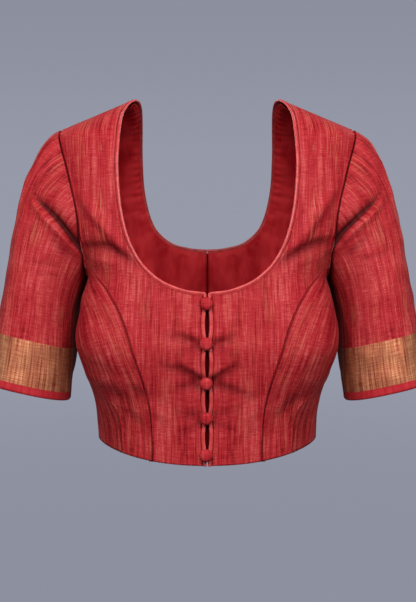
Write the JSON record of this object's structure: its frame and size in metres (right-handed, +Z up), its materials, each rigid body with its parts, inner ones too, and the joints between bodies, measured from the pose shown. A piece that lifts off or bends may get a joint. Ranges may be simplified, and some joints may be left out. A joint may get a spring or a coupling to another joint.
{
  "type": "saree blouse",
  "caption": "Fitted saree blouse with princess seams, a deep scooped neck edged with cord, covered buttons down the front and elbow sleeves with a woven border",
  "frame": {"origin": "midway between the shoulder seams, at the height halfway along them, where the blouse rests on its wearer", "axes": "+X to the wearer's left, -Y out of the front, +Z up"},
  "size_m": [0.4846, 0.2198, 0.3914],
  "materials": {
    "front_silk": "raw silk, soft sheen",
    "side_silk": "raw silk, soft sheen",
    "back_silk": "raw silk, soft sheen",
    "sleeve_silk": "raw silk with a woven metallic border",
    "lining_satin": "satin",
    "cord_silk": "silk-covered cord",
    "button_silk": "silk-covered"
  },
  "bodies": {
    "root": {"front_centre_left": "front_silk", "front_side_left": "side_silk", "back_left": "back_silk", "back_lining_left": "lining_satin", "sleeve_left": "sleeve_silk", "edge_cord_left": "cord_silk", "front_centre_right": "front_silk", "front_side_right": "side_silk", "back_right": "back_silk", "back_lining_right": "lining_satin", "sleeve_right": "sleeve_silk", "edge_cord_right": "cord_silk", "button_1": "button_silk", "button_2": "button_silk", "button_3": "button_silk", "button_4": "button_silk", "button_5": "button_silk"}
  },
  "joints": []
}
